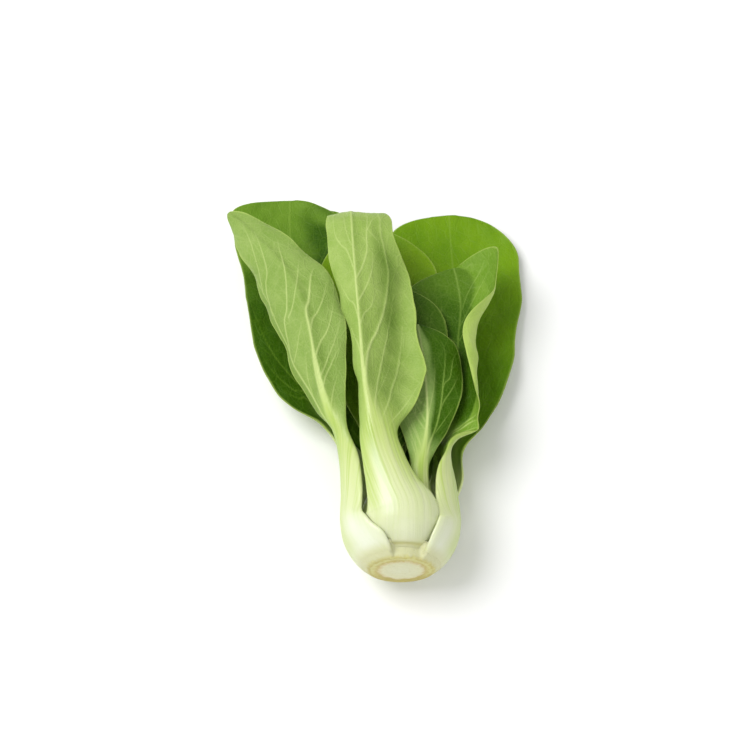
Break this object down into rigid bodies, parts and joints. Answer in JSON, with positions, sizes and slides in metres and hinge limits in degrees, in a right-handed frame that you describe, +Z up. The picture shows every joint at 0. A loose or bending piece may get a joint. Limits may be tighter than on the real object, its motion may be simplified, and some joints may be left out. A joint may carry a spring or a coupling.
{
  "type": "bok choy",
  "caption": "Head of bok choy lying on its side: pale stalks swell into a round bulb at the cut root and spread into broad green leaves with pale veins.",
  "frame": {"origin": "under the middle of the bounding box, on the surface the head lies on", "axes": "+Y from the cut root to the leaf tips, +Z up from the surface"},
  "size_m": [0.141, 0.2012, 0.0578],
  "materials": {
    "stalk": "satin",
    "outer_leaf": "satin",
    "inner_leaf": "satin",
    "cut_root": "matte"
  },
  "bodies": {
    "root": {"root_stub": "cut_root", "front_stalk": "stalk", "front_blade": "outer_leaf", "left_stalk": "stalk", "left_blade": "outer_leaf", "right_stalk": "stalk", "right_blade": "inner_leaf", "back_stalk": "stalk", "back_blade": "inner_leaf", "back_left_stalk": "stalk", "back_left_blade": "inner_leaf", "back_right_stalk": "stalk", "back_right_blade": "inner_leaf", "inner_right_stalk": "stalk", "inner_right_blade": "outer_leaf", "inner_left_stalk": "stalk", "inner_left_blade": "outer_leaf", "inner_back_stalk": "stalk", "inner_back_blade": "inner_leaf", "heart_left_stalk": "stalk", "heart_left_blade": "outer_leaf", "heart_right_stalk": "stalk", "heart_right_blade": "outer_leaf"}
  },
  "joints": []
}
